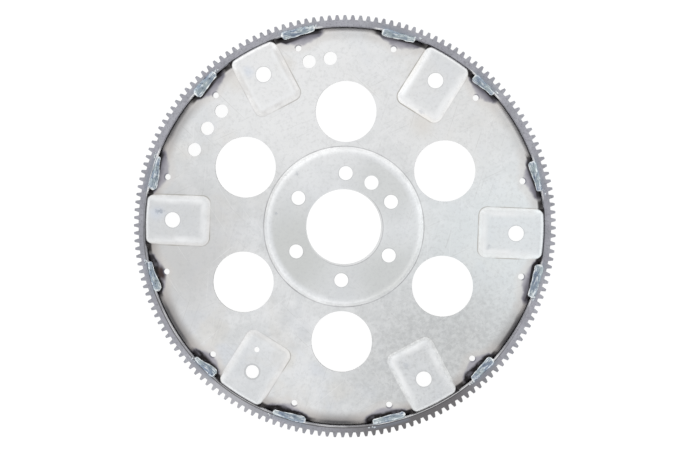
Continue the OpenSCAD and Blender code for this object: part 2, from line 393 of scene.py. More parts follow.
    def add_run(self):
        """The bead itself: rows of sections, closer together at both ends."""
        size = self.STEPS + 3
        for row in range(self.ROWS + 1):
            share = 0.5 - 0.5 * math.cos(math.pi * row / self.ROWS)
            for radius, z, across in self.section(share * self.length):
                self.add(share * self.length, radius, z, share, across)
        for row in range(self.ROWS):
            for i in range(size):
                a, b = row * size + i, row * size + (i + 1) % size
                self.faces.append((a, b, b + size, a + size))
        self.faces.append(tuple(reversed(range(size))))
        self.faces.append(tuple(range(self.ROWS * size, self.ROWS * size + size)))

    def add_drop(self, run, radius, size):
        """A drop of spatter on the ring gear's face."""
        sides, levels = self.DROP_SIDES, self.DROP_LEVELS
        first = len(self.points)
        foot_z = RING_FACE_Z - self.DROP_SINK
        height = self.DROP_HEIGHT * size
        for level in range(levels):
            tilt = math.pi / 2 * level / levels
            reach = size * math.cos(tilt)
            for k in range(sides):
                turn = math.tau * k / sides
                ahead, aside = reach * math.cos(turn), self.DROP_WIDTH * reach * math.sin(turn)
                self.add(run + ahead, radius + aside, foot_z + height * math.sin(tilt), 1.0, 1.0)
        self.add(run, radius, foot_z + height, 1.0, 1.0)
        for level in range(levels - 1):
            for k in range(sides):
                a, b = first + level * sides + k, first + level * sides + (k + 1) % sides
                self.faces.append((b, a, a + sides, b + sides))
        last = first + (levels - 1) * sides
        for k in range(sides):
            self.faces.append((last + (k + 1) % sides, last + k, first + levels * sides))
        self.faces.append(tuple(range(first, first + sides)))

    def mesh(self, name):
        self.add_run()
        for _ in range(self.rng.randint(*self.DROPS)):
            run = self.length + self.rng.uniform(*self.DROP_RUN)
            radius = self.rng.uniform(*self.DROP_R)
            self.add_drop(run, radius, self.rng.uniform(*self.DROP_SIZE))
        mesh = bpy.data.meshes.new(name)
        mesh.from_pydata(self.points, [], self.faces)
        layer = mesh.uv_layers.new(name="bead")
        for loop in mesh.loops:
            layer.data[loop.index].uv = self.places[loop.vertex_index]
        mesh.shade_smooth()
        return mesh


# The plate's colours, as linear red, green and blue

PALE_SHEET, GREY_SHEET = (0.81, 0.815, 0.82), (0.68, 0.69, 0.695)
ROLLED_LINES, SPECKLES = (0.60, 0.60, 0.61), (0.50, 0.505, 0.51)
WARM_DRIFT, COOL_DRIFT = (0.72, 0.69, 0.64), (0.67, 0.70, 0.76)
WARM_SHEET, COOL_SHEET = (0.80, 0.795, 0.785), (0.80, 0.85, 0.865)
# A darker sheet at the left, and a painted light towards the top
DULL_SHEET, PAINTED_LIGHT_SHEET = (0.60, 0.595, 0.59), (0.85, 0.85, 0.85)
# Greys of the painted shade at the lower right, which is mottled
PALE_MOTTLE, DARK_MOTTLE = (0.64, 0.65, 0.65), (0.51, 0.52, 0.52)
PAD_TINT, HUB_SHADE = (0.735, 0.755, 0.78), (0.60, 0.61, 0.595)
# A painted highlight on the pads' crests, and a painted shade on their slopes
PAD_CREST_HIGHLIGHT, PAD_SLOPE_SHADE = (0.88, 0.885, 0.89), (0.63, 0.625, 0.62)
# Painted shade at the feet of hub and pads and round the pilot's bevel; faint marks of the press
HUB_AND_BEVEL_SHADE_LINE, PAD_FOOT_SHADE_LINE, PRESS_LINE = (0.30, 0.30, 0.31), (0.38, 0.36, 0.32), (0.40, 0.40, 0.41)
# A painted shade round the bolt holes, and the pilot's bevel
HOLE_EDGE_SHADE, PILOT_BEVEL = (0.42, 0.425, 0.43), (0.62, 0.625, 0.63)
DARK_SCRATCH, PALE_SCRATCH = (0.47, 0.46, 0.45), (0.92, 0.92, 0.92)
BLUE_SMUDGE, WARM_SMUDGE, SPECK = (0.66, 0.72, 0.82), (0.72, 0.685, 0.64), (0.30, 0.33, 0.39)
STRAW_HEAT, VIOLET_HEAT, DARK_HEAT = (0.70, 0.655, 0.62), (0.37, 0.36, 0.405), (0.13, 0.125, 0.155)
BURNT_SPOT, CRESCENT = (0.045, 0.028, 0.026), (0.14, 0.14, 0.185)
# Dust with a painted shade towards the rim, and the oxide scale of the rolled rim
RIM_DUST_AND_SHADE, UPPER_SCALE, RIGHT_SCALE = (0.27, 0.255, 0.25), (0.22, 0.215, 0.22), (0.07, 0.068, 0.07)
LEFT_SCALE, DEEP_LEFT_SCALE = (0.10, 0.098, 0.102), (0.20, 0.197, 0.197)
# Soot, and the painted shade and shadow in the groove and at the beads' feet
SOOT_AND_SHADE = (0.012, 0.010, 0.011)

# The plate's marks in the photograph: places in millimetres, strengths from 0 to 1

HUB_LAND_R = 62.0
COOL_RIGHT = Spot(150.0, -15.0, 140.0, 25.0, 0.62)
WARM_UPPER_RIGHT = Spot(90.0, 100.0, 85.0, 20.0, 0.6)
DULL_LEFT = Spot(-145.0, -28.0, 88.0, 20.0, 0.75)
# A painted shade at the lower right, and a painted light at the top
PAINTED_SHADE_LOWER_RIGHT = Spot(88.0, -112.0, 115.0, 20.0, 0.88)
PAINTED_LIGHT_TOP = Spot(-50.0, 125.0, 135.0, 20.0, 0.85)
HUB_SHADES = (
    (HUB_LAND_R, Spot(-44.0, -26.0, 63.0, 10.0, 0.8)),
    (HUB_LAND_R, Spot(38.0, 38.0, 48.0, 10.0, 0.5)),
    (HUB_FOOT_R, Spot(42.0, -42.0, 45.0, 10.0, 0.65)),
)
# Places where the painted shade at the pads' feet is fainter
LESS_FOOT_SHADE = (Spot(85.0, -115.0, 120.0, 50.0, 0.15), Spot(-98.0, -115.0, 55.0, 25.0, 0.2))
# Where the painted highlight on the pads' crests is fainter
LESS_CREST_HIGHLIGHT = Spot(-77.0, -121.0, 45.0, 30.0, 0.35)
# Painted shade on the slopes of three pads
SHADED_PAD_SLOPES = (
    Spot(-72.0, 118.0, 45.0, 28.0, 1.0),
    Spot(-77.0, -121.0, 45.0, 28.0, 0.8),
    Spot(138.0, 0.0, 45.0, 28.0, 0.5),
)
BLUE_SMUDGES = (Spot(-86.4, 127.8, 8.0, 0.0, 0.5), Spot(-160.0, 5.0, 9.0, 0.0, 0.5))
WARM_SMUDGES = (
    Spot(-95.9, 119.4, 15.0, 0.0, 0.55),
    Spot(-54.4, 135.9, 12.0, 0.0, 0.55),
    Spot(63.7, 89.2, 16.0, 0.0, 0.55),
)
SPECKS = (
    Spot(-159.3, 6.6, 2.8, 0.8, 0.45),
    Spot(-155.9, 7.2, 2.8, 0.8, 0.5),
    Spot(-41.3, 43.7, 2.1, 0.1, 0.3),
    Spot(-57.9, 8.5, 2.1, 0.1, 0.35),
    Spot(123.0, -12.7, 3.0, 1.0, 0.25),
    Spot(62.2, 100.0, 3.4, 1.4, 0.3),
    Spot(57.9, -115.4, 3.4, 1.4, 0.25),
)

SOOTY_SIDE = Side((-0.20, -0.93, 0.0), -20.0, 80.0)
# Towards which the dust and painted shade at the rim grow stronger
DUST_AND_SHADE_SIDE = Side((-0.6, -0.8, 0.0), -120.0, 90.0)
SCALED_SIDE = Side((-0.35, -0.93, 0.0), -110.0, 60.0)
LEFT_SIDE = Side((1.0, 0.0, 0.0), 60.0, 10.0)
FAR_LEFT_SIDE = Side((1.0, 0.0, 0.0), -105.0, -145.0)
WIDE_BEVEL_SIDE = Side((PILOT_BEVEL_X, PILOT_BEVEL_Y, 0.0), -5.0, 15.0)

# Soft steps of the plate's marks, from where each starts to where it is full, in millimetres

OUTSIDE_HUB_R = (80.0, 125.0)
PAD_LINE_R = (165.0, 163.0)
PAD_CREST_R = (166.0, 158.0)
PAD_SLOPE_R = (164.0, 160.0)
# Where the painted shade and soot round the pads' corners and along the groove start and are full
CORNER_SHADE_AND_SOOT_R = (164.0, 165.6)
GROOVE_SHADE_AND_SOOT_R = (164.4, 166.2)
# Radii of the dust and painted shade at the rim
RIM_DUST_AND_SHADE_R = (155.5, 166.5)
PILOT_BEVEL_REACH = (PILOT_BEVEL_R + 2.0, PILOT_BEVEL_R + 1.5)
PILOT_BEVEL_Z = (HUB_Z - 0.03, HUB_Z - 0.15)
ON_PAD_Z = (WEB_Z + 1.0, WEB_Z + 2.6)
OFF_PAD_Z = (WEB_Z + 1.5, WEB_Z + 0.5)
HEATED_WEB_Z = (WEB_Z + 0.5, WEB_Z + 0.1)
# Heights of the dust and painted shade at the rim
DUST_AND_SHADE_WEB_Z = (WEB_Z + 1.0, WEB_Z + 0.2)
GROOVE_Z = (WEB_Z - 0.1, WEB_Z - 0.8)
DEEP_GROOVE_Z = (WEB_Z - 1.6, WEB_Z - 2.4)
# Heights, rounding and sideways reach of the painted shade and soot in the pads' corners
CORNER_SHADE_AND_SOOT_Z = (WEB_Z - 2.6, WEB_Z - 1.8)
CORNER_ROUND_FROM_R, CORNER_ROUND = 162.3, (6.8, 7.8)
CORNER_SHADE_AND_SOOT_ASIDE = (PAD_HALF_W + 1.5, PAD_HALF_W)

# Bands of the plate's marks, in millimetres: start, where it is full, where it falls, end

PAD_CREST_BAND = (-9.5, -5.5, -5.0, -2.5)
PAD_SLOPE_BAND = (-6.0, -2.5, -0.5, 1.0)
PRESS_MARK_BAND = (0.6, 1.2, 2.0, 6.0)
# The painted shade and soot along the groove beside the pads
GROOVE_SHADE_AND_SOOT_BAND = (PAD_HALF_W - 1.5, PAD_HALF_W, PAD_HALF_W + 5.0, PAD_HALF_W + 10.0)

# Strengths of the plate's marks, from 0 to 1

ROLLED_STRENGTH = 0.16
WARM_STRENGTH, COOL_STRENGTH = 0.42, 0.40
PAD_TINT_STRENGTH = 0.35
PRESS_MARK_STRENGTH = 0.14
# Strengths of the painted shade round the bolt holes and of the pilot's bevel
HOLE_EDGE_SHADE_STRENGTH, PILOT_BEVEL_STRENGTH = 0.4, 0.9
SCRATCH_STRENGTH = 0.28
STRAW_STRENGTH, VIOLET_STRENGTH, DARK_STRENGTH = 0.35, 0.85, 0.8
# Strength of the painted shade and soot in the groove
GROOVE_SHADE_AND_SOOT_STRENGTH = 0.9
BURNT_STRENGTH, CRESCENT_STRENGTH = 0.95, 0.7


# The plate's material


def sheet_greys(sh, place, patches):
    """Clouds and patches of two greys, with the fine lines of the rolling mill."""
    clouds = sh.grain(place.at, scale=0.016, distortion=0.6)
    rolled = sh.grain(sh.stretched(place.at, turn=78, along=60.0, across=1.3), scale=1.0, detail=2.0)
    tone = sh.product(sh.plus(clouds, patches), 0.5)
    colour = sh.mix(sh.fade(tone, 0.38, 0.62), PALE_SHEET, GREY_SHEET)
    return sh.mix(sh.fade(rolled, 0.5, 0.72, high=ROLLED_STRENGTH), colour, ROLLED_LINES)


def drifting_hazes(sh, place, colour):
    """Warm and cool hazes that drift over the sheet, weaker towards the hub."""
    outside = sh.fade(place.radius, *OUTSIDE_HUB_R, low=0.35)
    warm = sh.grain(place.at, scale=0.024, roughness=0.6, distortion=0.5)
    warm = sh.fade(warm, 0.50, 0.68, high=WARM_STRENGTH)
    colour = sh.mix(sh.product(warm, outside), colour, WARM_DRIFT)
    elsewhere = sh.vector("ADD", place.at, (310.0, 90.0, 0.0))
    cool = sh.grain(elsewhere, scale=0.03, roughness=0.6, distortion=0.5)
    cool = sh.fade(cool, 0.52, 0.70, high=COOL_STRENGTH)
    return sh.mix(sh.product(cool, outside), colour, COOL_DRIFT)


def hazes_and_painted_light(sh, place, colour):
    """Broad hazes at their places in the photograph, the pads' tint, a painted shade at the lower right and a
    painted light towards the top. Also gives the mask of the painted shade.
    """
    colour = sh.mix(place.within(COOL_RIGHT), colour, COOL_SHEET)
    colour = sh.mix(place.within(WARM_UPPER_RIGHT), colour, WARM_SHEET)
    on_pad = sh.fade(place.z, *ON_PAD_Z)
    less_on_pad = sh.scaled(on_pad, gain=-0.4, base=1.0)
    colour = sh.mix(sh.product(place.within(DULL_LEFT), less_on_pad), colour, DULL_SHEET)
    # Painted shade at the lower right, mottled
    lower_right_shade = sh.product(place.within(PAINTED_SHADE_LOWER_RIGHT), less_on_pad)
    mottle = sh.fade(sh.grain(place.at, scale=0.24, detail=5.0, roughness=0.72), 0.38, 0.64)
    colour = sh.mix(lower_right_shade, colour, sh.mix(mottle, PALE_MOTTLE, DARK_MOTTLE))
    colour = sh.mix(sh.product(on_pad, PAD_TINT_STRENGTH), colour, PAD_TINT)
    # Painted light: paler sheet towards the top
    return sh.mix(place.within(PAINTED_LIGHT_TOP), colour, PAINTED_LIGHT_SHEET), lower_right_shade


def sheet_tone(sh, place):
    """Bright satin steel under its hazes, a painted light and a painted shade, with the hub's shades and fine
    speckle. Also gives the patches.
    """
    patches = sh.grain(place.at, scale=0.07, detail=4.0, roughness=0.6)
    colour = drifting_hazes(sh, place, sheet_greys(sh, place, patches))
    colour, lower_right_shade = hazes_and_painted_light(sh, place, colour)
    for outer_r, spot in HUB_SHADES:
        on_hub = sh.fade(place.radius, outer_r + 0.5, outer_r - 3.0)
        colour = sh.mix(sh.product(on_hub, place.within(spot)), colour, HUB_SHADE)
    speckle = sh.grain(place.at, scale=0.36, detail=4.0, roughness=0.62)
    spots = sh.fade(speckle, 0.47, 0.70, high=sh.scaled(lower_right_shade, gain=0.40, base=0.24))
    return sh.mix(spots, colour, SPECKLES), patches


def pad_aside(sh, place):
    """Distance sideways from the middle line of the nearest pad."""
    return sh.size(sh.product(place.radius, sh.math("SINE", place.folded(PAD_PITCH, PAD_CLOCK))))


def pad_foot_distance(sh, place):
    """Distance outside the foot of the nearest pad, less than 0 on the pad.
    Also gives the distance inwards of the centres of its inner corners."""
    along = sh.product(place.radius, sh.math("COSINE", place.folded(PAD_PITCH, PAD_CLOCK)))
    before = sh.minus(PAD_FOOT_R + PAD_CORNER_R, along)
    beside = sh.minus(pad_aside(sh, place), PAD_HALF_W - PAD_CORNER_R)
    outside = sh.length(sh.most(before, 0.0), sh.most(beside, 0.0))
    inside = sh.least(sh.most(before, beside), 0.0)
    return sh.minus(sh.plus(outside, inside), PAD_CORNER_R), before


def foot_lines(sh, place, colour):
    """Painted shade in fine dark lines at the feet of hub and pads and round the pilot's bevel, and the
    press's marks.
    """
    patchy = sh.fade(sh.grain(place.at, scale=0.03), 0.40, 0.62)
    hub = sh.fine_line(place.radius, HUB_FOOT_R + 0.2, half_w=0.7, core=0.15)
    hub = sh.product(hub, sh.scaled(patchy, gain=0.35, base=0.4))
    from_bevel = place.distance_to(PILOT_BEVEL_X, PILOT_BEVEL_Y)
    bevel = sh.fine_line(from_bevel, PILOT_BEVEL_R + 0.1, half_w=0.6, core=0.1, high=0.55)
    wide_side = place.on_side(WIDE_BEVEL_SIDE)
    # Painted shade in the creases at the hub's foot and round the pilot's bevel
    colour = sh.mix(sh.most(hub, sh.product(bevel, wide_side)), colour, HUB_AND_BEVEL_SHADE_LINE)
    foot, before = pad_foot_distance(sh, place)
    pad = sh.fine_line(foot, 0.25, half_w=0.75, core=0.15)
    pad = sh.product(pad, sh.scaled(patchy, gain=0.75, base=0.08))
    # Painted shade in the creases at the pads' feet, fainter in places
    worn = sh.least(*[place.worn_at(spot) for spot in LESS_FOOT_SHADE])
    colour = sh.mix(sh.product(pad, worn, sh.fade(place.radius, *PAD_LINE_R)), colour, PAD_FOOT_SHADE_LINE)
    return press_marks(sh, foot, before, colour)


def press_marks(sh, foot, before, colour):
    """Faint waves in the sheet before the pads, along their feet."""
    wave_length = 1.7
    waves = sh.fade(sh.math("SINE", sh.product(foot, math.tau / wave_length)), 0.3, 1.0)
    near = sh.product(sh.band(foot, *PRESS_MARK_BAND), sh.fade(before, 9.0, 10.0))
    return sh.mix(sh.product(waves, near, PRESS_MARK_STRENGTH), colour, PRESS_LINE)


def hole_edges(sh, place, colour):
    """A painted shade in thin grey edges round the bolt holes, and the pilot's bevel, which is duller than
    the sheet.
    """
    crank = (CRANK_CLOCK, CRANK_CIRCLE_R, CRANK_HOLE_R)
    converter = (PAD_CLOCK, CONVERTER_CIRCLE_R, CONVERTER_HOLE_R)
    far_off = 10.0
    edge = far_off
    for clock, circle_r, hole_r in (crank, converter):
        aside = sh.product(place.folded(PAD_PITCH, clock), place.radius)
        off = sh.length(aside, sh.minus(place.radius, circle_r))
        edge = sh.least(edge, sh.minus(off, hole_r))
    # Painted shade round the bolt holes' edges
    colour = sh.mix(sh.fade(edge, 0.9, 0.1, high=HOLE_EDGE_SHADE_STRENGTH), colour, HOLE_EDGE_SHADE)
    below_hub = sh.fade(place.z, *PILOT_BEVEL_Z)
    at_pilot = sh.fade(place.radius, *PILOT_BEVEL_REACH)
    return sh.mix(sh.product(below_hub, at_pilot, PILOT_BEVEL_STRENGTH), colour, PILOT_BEVEL)


def pad_corner_shade_and_soot(sh, place):
    """A painted shade of the groove, with soot, that rounds the pads' corners at the rim, and runs from them
    along the groove to the welds.
    """
    aside = pad_aside(sh, place)
    past_end = sh.most(sh.minus(place.radius, CORNER_ROUND_FROM_R), 0.0)
    past_side = sh.most(sh.minus(aside, PAD_HALF_W - PAD_CORNER_R), 0.0)
    # Painted shade of the groove, with soot, round the pads' outer corners
    corner = sh.product(sh.fade(sh.length(past_end, past_side), *CORNER_ROUND), sh.fade(past_side, 0.0, 1.0))
    corner = sh.product(corner, sh.fade(place.radius, *CORNER_SHADE_AND_SOOT_R), sh.fade(aside, *CORNER_SHADE_AND_SOOT_ASIDE))
    corner = sh.product(corner, sh.fade(place.z, *CORNER_SHADE_AND_SOOT_Z))
    # Painted shade and soot along the groove beside the pads
    groove = sh.product(sh.band(aside, *GROOVE_SHADE_AND_SOOT_BAND), sh.fade(place.radius, *GROOVE_SHADE_AND_SOOT_R))
    return sh.most(corner, sh.product(groove, GROOVE_SHADE_AND_SOOT_STRENGTH))


def pad_painted_light_and_soot(sh, place, colour):
    """A painted highlight on the pads' crests, a painted shade on the slopes of three, and a painted shade of
    the groove with soot in their corners.
    """
    foot, _ = pad_foot_distance(sh, place)
    crest = sh.product(sh.band(foot, *PAD_CREST_BAND), sh.fade(place.radius, *PAD_CREST_R))
    # Patches where the painted highlight on the crests is stronger
    rubbed = sh.fade(sh.grain(place.at, scale=0.05), 0.35, 0.65, low=0.3, high=0.8)
    colour = sh.mix(sh.product(crest, place.worn_at(LESS_CREST_HIGHLIGHT), rubbed), colour, PAD_CREST_HIGHLIGHT)
    slope = sh.product(sh.band(foot, *PAD_SLOPE_BAND), sh.fade(place.radius, *PAD_SLOPE_R))
    slope = sh.product(slope, sh.fade(sh.grain(place.at, scale=0.09), 0.38, 0.62, low=0.55))
    # Painted shade on the slopes of three pads
    for spot in SHADED_PAD_SLOPES:
        colour = sh.mix(sh.product(slope, place.within(spot)), colour, PAD_SLOPE_SHADE)
    # Painted shade of the groove and soot in the pads' corners
    corner = pad_corner_shade_and_soot(sh, place)
    return sh.mix(corner, colour, SOOT_AND_SHADE), corner


def scratch_marks(sh, place, seed):
    """Fine straight scratches in several directions."""
    marks = 0.0
    step_x, step_y = 7.0, 11.0
    for turn, length in ((24 + seed, 60.0), (-38 - seed, 80.0), (71 + seed, 45.0)):
        moved = sh.vector("ADD", place.at, ((turn + seed) * step_x, seed * step_y, 0.0))
        lines = sh.grain(sh.stretched(moved, turn, along=length, across=1.1), scale=1.0, detail=1.0)
        marks = sh.most(sh.fade(lines, 0.68, 0.77), marks)
    return marks


class WeldHeat:
    """What the welds' heat did to the plate beside them, with a painted shadow at the beads' feet and a
    painted shade in the groove.
    """

    RAGGED_DEPTH, RAGGED_END = 4.0, 8.0
    RUN_SHIFT, RUN_MARGIN = 2.0, 4.5
    LENS_POWER, LEAST_LENS, LARGEST_LENS = 1.4, 6.0, 9.0
    START_OVERLAP = 2.0
    FOOT_R_AT_END, FOOT_R_AT_START, FOOT_SLANT = 166.2, 164.3, 0.7

    def __init__(self, place):
        sh = place.sh
        self.sh, self.place = sh, place
        self.along, self.half = beside_weld(place)
        self.ragged = sh.minus(sh.grain(place.at, scale=0.17), 0.5)
        self.web = sh.fade(place.z, *HEATED_WEB_Z)
        self.depth = sh.scaled(self.ragged, self.RAGGED_DEPTH, sh.minus(WELD_INNER_R, place.radius))
        reach = sh.plus(self.half, self.RUN_MARGIN)
        self.share = sh.math("DIVIDE", sh.plus(self.along, self.RUN_SHIFT), reach)
        self.beside = sh.product(sh.fade(sh.size(self.share), 1.1, 0.85), self.web)
        self.margin = sh.minus(self.lens_depth(), self.depth)
        self.low_side = place.on_side(SOOTY_SIDE)

    def lens_depth(self):
        """How far in from the bead the heat reached: deepest at its middle."""
        sh = self.sh
        spread = sh.minus(1.0, sh.math("POWER", sh.size(self.share), self.LENS_POWER))
        varied = sh.grain(self.place.at, scale=0.012, detail=2.0)
        deepest = sh.fade(varied, 0.35, 0.65, low=self.LEAST_LENS, high=self.LARGEST_LENS)
        return sh.product(sh.most(spread, 0.0), deepest)

    def tint(self, colour):
        """Straw round a violet lens, which is darker close to the bead."""
        sh = self.sh
        lens = sh.product(sh.fade(self.margin, -1.5, 1.5), self.beside)
        close = sh.product(sh.fade(self.depth, 5.0, 0.0), self.beside)
        straw = sh.product(sh.fade(self.margin, -9.0, -3.0), sh.fade(sh.size(self.share), 1.9, 1.0), self.web)
        colour = sh.mix(sh.product(straw, STRAW_STRENGTH), colour, STRAW_HEAT)
        colour = sh.mix(sh.product(lens, VIOLET_STRENGTH), colour, VIOLET_HEAT)
        return sh.mix(sh.product(lens, close, DARK_STRENGTH), colour, DARK_HEAT)

    def web_soot(self):
        """Soot on the web close to the beads of the low side."""
        sh = self.sh
        soot = sh.product(sh.fade(self.depth, 4.2, 1.6), sh.fade(self.margin, 0.0, 2.0))
        return sh.product(soot, self.beside, self.low_side, sh.fade(self.ragged, -0.25, 0.02, low=0.5))

    def foot_shadow(self):
        """A painted shadow: black along the bead's inner edge and before its wide start."""
        sh = self.sh
        before = sh.most(sh.plus(sh.minus(self.along, self.half), self.START_OVERLAP), 0.0)
        edge = sh.fade(self.share, -0.6, 0.7, low=self.FOOT_R_AT_END, high=self.FOOT_R_AT_START)
        edge = sh.scaled(before, self.FOOT_SLANT, edge)
        foot = sh.fade(sh.minus(edge, self.place.radius), 2.4, 1.0)
        foot = sh.product(foot, sh.fade(before, 8.0, 4.0), sh.fade(self.share, -0.9, -0.1))
        patchy = sh.fade(sh.grain(self.place.at, scale=0.02, detail=2.0), 0.35, 0.55, low=0.35, high=0.95)
        return sh.product(foot, self.web, patchy)

    def groove_shade_and_soot(self):
        """A painted shade with soot: black in the groove at both ends of the bead."""
        sh = self.sh
        beyond = sh.scaled(self.ragged, self.RAGGED_END, sh.minus(sh.size(self.along), self.half))
        return sh.product(sh.fade(beyond, 9.0, 2.0), sh.fade(self.place.z, *GROOVE_Z), GROOVE_SHADE_AND_SOOT_STRENGTH)

    # Soot on the web, the painted shadow at the beads' feet, and the painted shade in the groove
    def soot(self):
        return self.sh.most(self.web_soot(), self.foot_shadow(), self.groove_shade_and_soot())


def gauge_marks(sh, place, colour, low_side):
    """Burnt spots between the lower left welds and their gauge holes, and dark crescents on all twelve."""
    aside = sh.product(place.folded(GAUGE_PITCH, GAUGE_CLOCK), place.radius)
    out = sh.minus(place.radius, GAUGE_R)
    spot_half_w, spot_half_h, spot_out = 7.0, 3.4, 4.4
    from_spot = sh.math("DIVIDE", sh.minus(out, spot_out), spot_half_h)
    spot = sh.length(sh.math("DIVIDE", aside, spot_half_w), from_spot)
    burnt = sh.product(sh.fade(spot, 1.3, 0.4), low_side, place.on_side(FAR_LEFT_SIDE), BURNT_STRENGTH)
    colour = sh.mix(burnt, colour, BURNT_SPOT)
    crescent = sh.product(sh.fade(sh.length(aside, out), 3.9, 2.7), sh.fade(out, 0.2, 1.8))
    return sh.mix(sh.product(crescent, CRESCENT_STRENGTH), colour, CRESCENT)


def rim_shade_dust_and_scale(sh, place, colour):
    """Dust and a painted shade towards the rim, thicker at the lower left, and scale where the rim rolls
    under the ring gear.
    """
    more_dust_and_shade = place.on_side(DUST_AND_SHADE_SIDE)
    web = sh.fade(place.z, *DUST_AND_SHADE_WEB_Z)
    # Dust and painted shade, darker towards the rim's roll
    dust_and_shade = sh.product(sh.fade(place.radius, *RIM_DUST_AND_SHADE_R), web, sh.scaled(more_dust_and_shade, gain=0.63, base=0.32))
    colour = sh.mix(dust_and_shade, colour, RIM_DUST_AND_SHADE)
    lower = place.on_side(SCALED_SIDE)
    start = sh.scaled(lower, gain=0.1, base=WEB_Z - 0.1)
    full = sh.scaled(lower, gain=0.6, base=WEB_Z - 1.6)
    scale = sh.fade(place.z, start, full)
    deep = sh.fade(place.z, *DEEP_GROOVE_Z)
    dark = sh.mix(place.on_side(LEFT_SIDE), RIGHT_SCALE, sh.mix(deep, LEFT_SCALE, DEEP_LEFT_SCALE))
    amount = sh.product(scale, sh.scaled(lower, gain=0.25, base=0.7))
    return sh.mix(amount, colour, sh.mix(lower, UPPER_SCALE, dark)), scale


def smudges(sh, place, colour):
    """Bluish hazes beside two pads' holes, warm ones beside the upper pads, and specks on pads and hub."""
    wander = sh.grain(place.at, scale=0.6, detail=4.0, roughness=0.65)
    wander = sh.scaled(wander, gain=7.0, base=-3.5)
    for spots, tint in ((BLUE_SMUDGES, BLUE_SMUDGE), (WARM_SMUDGES, WARM_SMUDGE), (SPECKS, SPECK)):
        for spot in spots:
            colour = sh.mix(place.within(spot, wander), colour, tint)
    return colour


def plate_material():
    """Pressed sheet steel: pale and satin, rubbed, scratched and smudged, stained by the welds' heat, with
    painted highlights, painted shade and painted shadow.
    """
    material, sh, surface = new_material("worn_plate_steel")
    place = Place(sh)
    colour, patches = sheet_tone(sh, place)
    off_pads = sh.fade(place.z, *OFF_PAD_Z, low=0.35)
    scratches, polished = scratch_marks(sh, place, seed=3.0), scratch_marks(sh, place, seed=17.0)
    colour = sh.mix(sh.product(scratches, off_pads, SCRATCH_STRENGTH), colour, DARK_SCRATCH)
    colour = sh.mix(sh.product(polished, off_pads, SCRATCH_STRENGTH), colour, PALE_SCRATCH)
    colour = smudges(sh, place, hole_edges(sh, place, foot_lines(sh, place, colour)))
    colour, scale = rim_shade_dust_and_scale(sh, place, colour)
    heat = WeldHeat(place)
    # Soot, painted shadow and painted shade beside the welds
    soot = heat.soot()
    colour = sh.mix(soot, heat.tint(colour), SOOT_AND_SHADE)
    colour = gauge_marks(sh, place, colour, heat.low_side)
    # Painted highlight and shade on the pads, and painted shade with soot in their corners
    colour, corner = pad_painted_light_and_soot(sh, place, colour)
    matte = sh.most(scale, soot, corner)
    rough = sh.scaled(scratches, gain=0.08, base=sh.scaled(patches, gain=0.16, base=0.30))
    fine = sh.bump(sh.grain(place.at, scale=1.6), strength=0.10, distance=0.2 * MM)
    sh.put(surface.inputs["Base Color"], colour)
    sh.put(surface.inputs["Metallic"], sh.scaled(matte, gain=-0.85, base=1.0))
    sh.put(surface.inputs["Specular IOR Level"], sh.scaled(matte, gain=-0.4, base=0.5))
    sh.put(surface.inputs["Roughness"], rough)
    sh.put(surface.inputs["Normal"], sh.bump(patches, strength=0.12, distance=0.6 * MM, normal=fine))
    return material


# The ring gear's material: colours, marks and functions

PALE_RING, GREY_RING = (0.415, 0.42, 0.455), (0.325, 0.33, 0.36)
VIOLET_RING, RING_SPECKLES = (0.36, 0.345, 0.40), (0.20, 0.20, 0.22)
BROWN_RING, RUBBED_RING, HEATED_RING = (0.135, 0.128, 0.130), (0.50, 0.50, 0.52), (0.24, 0.27, 0.32)
# A painted shadow at the bore's edge; a bevel paler beside the welds, with a painted highlight
BORE_SHADOW, PALE_BEVEL_AND_HIGHLIGHT = (0.08, 0.078, 0.08), (0.85, 0.85, 0.86)
BORE_EDGE_R = 171.2
BORE_BEVEL_R, BORE_BEVEL_Z = (BORE_EDGE_R, BORE_EDGE_R - 0.5), (RING_FACE_Z - 1.1, RING_FACE_Z - 0.8)
HEATED_RING_R = (175.5, 172.0)
HEATED_RING_STRENGTH, BORE_SHADOW_STRENGTH = 0.5, 0.85
LOW_BORE_SIDE = Side((-0.25, -0.93, 0.0), 0.0, 90.0)
BROWN_LOWER_RIGHT = Spot(70.0, -158.0, 105.0, 25.0, 0.9)
RUBBED_LOWER_LEFT = Spot(-95.0, -146.0, 45.0, 10.0, 0.6)
# Where the painted highlight on the bore's bevel is strong
BEVEL_HIGHLIGHT_LOWER_RIGHT = Spot(86.0, -147.0, 48.0, 30.0, 0.8)


def ring_tone(sh, place, speckle):
    """Blotches of two greys, a violet hue and speckle, brown at the lower right, rubbed at the lower left."""
    blotch = sh.grain(place.at, scale=0.05)
    hue = sh.grain(place.at, scale=0.22, detail=2.0)
    colour = sh.mix(sh.fade(blotch, 0.35, 0.65), PALE_RING, GREY_RING)
    colour = sh.mix(sh.fade(hue, 0.4, 0.65, high=0.35), colour, VIOLET_RING)
    colour = sh.mix(sh.fade(speckle, 0.48, 0.68, high=0.6), colour, RING_SPECKLES)
    colour = sh.mix(place.within(BROWN_LOWER_RIGHT), colour, BROWN_RING)
    return sh.mix(place.within(RUBBED_LOWER_LEFT), colour, RUBBED_RING)


